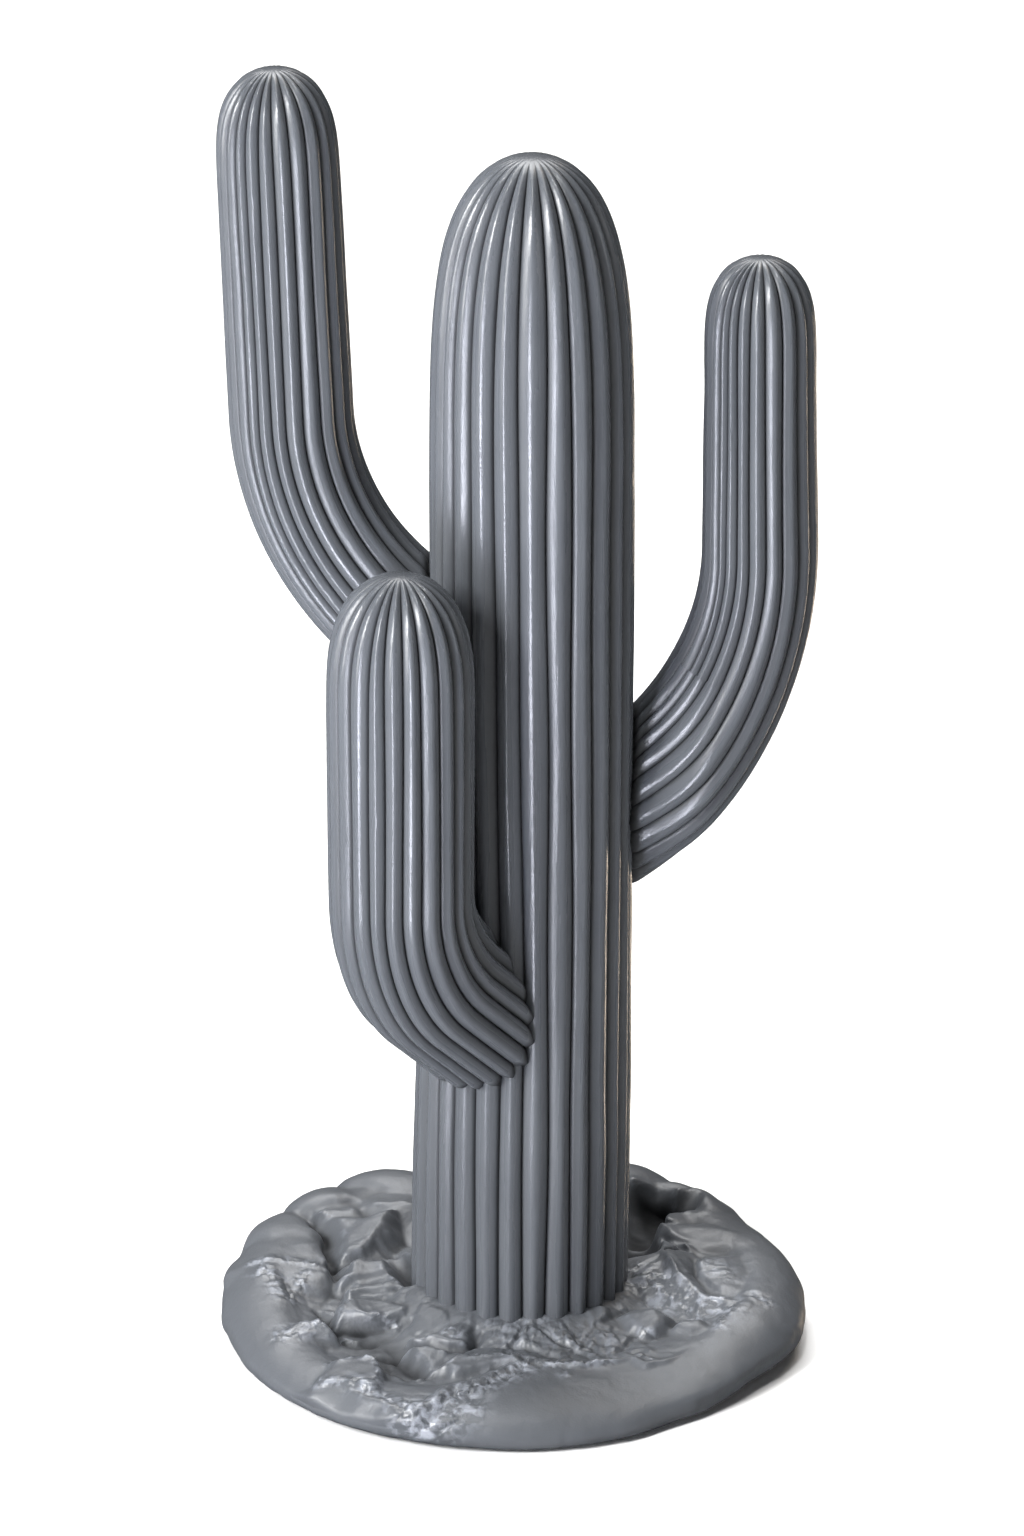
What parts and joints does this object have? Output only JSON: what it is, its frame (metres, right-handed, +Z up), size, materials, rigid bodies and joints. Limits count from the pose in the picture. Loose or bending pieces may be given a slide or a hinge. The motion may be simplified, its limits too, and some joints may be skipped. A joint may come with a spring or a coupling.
{
  "type": "model cactus",
  "caption": "Tall model saguaro cactus in grey cast resin: ribbed trunk with curved ribbed arms, standing on a rugged rock base with a flat underside.",
  "frame": {"origin": "centre of the flat underside of the rock base", "axes": "+Z up along the trunk, +X to the viewer's right of the front view, +Y to the back"},
  "size_m": [0.1116, 0.1094, 0.2479],
  "materials": {
    "ribbed_resin": "satin grey, read as cast resin, with narrow glossy highlights along the ribs",
    "rock_resin": "satin grey, read as cast resin, glossier on the crests of the rock"
  },
  "bodies": {
    "root": {"trunk": "ribbed_resin", "left_arm_bend": "ribbed_resin", "left_arm_upright": "ribbed_resin", "right_arm_bend": "ribbed_resin", "right_arm_upright": "ribbed_resin", "front_arm_bend": "ribbed_resin", "front_arm_upright": "ribbed_resin", "rock_base": "rock_resin"}
  },
  "joints": []
}
